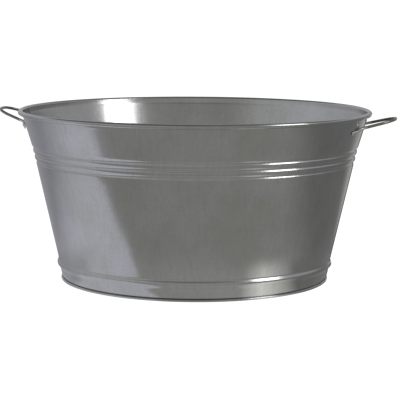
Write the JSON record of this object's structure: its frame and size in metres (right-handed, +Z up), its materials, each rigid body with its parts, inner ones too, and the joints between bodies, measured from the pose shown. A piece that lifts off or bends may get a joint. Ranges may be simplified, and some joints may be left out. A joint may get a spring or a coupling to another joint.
{
  "type": "water tub",
  "caption": "Round tapered galvanised steel water tub with a rolled wired rim, grooves round the upper wall, a recessed base in a foot hem and bent-wire handles on opposite sides.",
  "frame": {"origin": "on the floor, at the tub's axis", "axes": "+X through the right handle, +Y to the rear sheet, +Z up out of the tub's mouth"},
  "size_m": [0.627, 0.55, 0.265],
  "materials": {
    "zinc_sheet": "smooth galvanised sheet, satin",
    "zinc_base": "smooth galvanised sheet, satin",
    "edge_wire": "drawn wire, hidden in the rolled edges",
    "handle_zinc": "galvanised wire, darker satin",
    "sealant": "matt grey sealing bead"
  },
  "bodies": {
    "root": {"wall_front": "zinc_sheet", "wall_rear": "zinc_sheet", "base_plate": "zinc_base", "base_sealant": "sealant", "rim_wire": "edge_wire", "foot_wire": "edge_wire", "handle_right": "handle_zinc", "handle_left": "handle_zinc"}
  },
  "joints": []
}
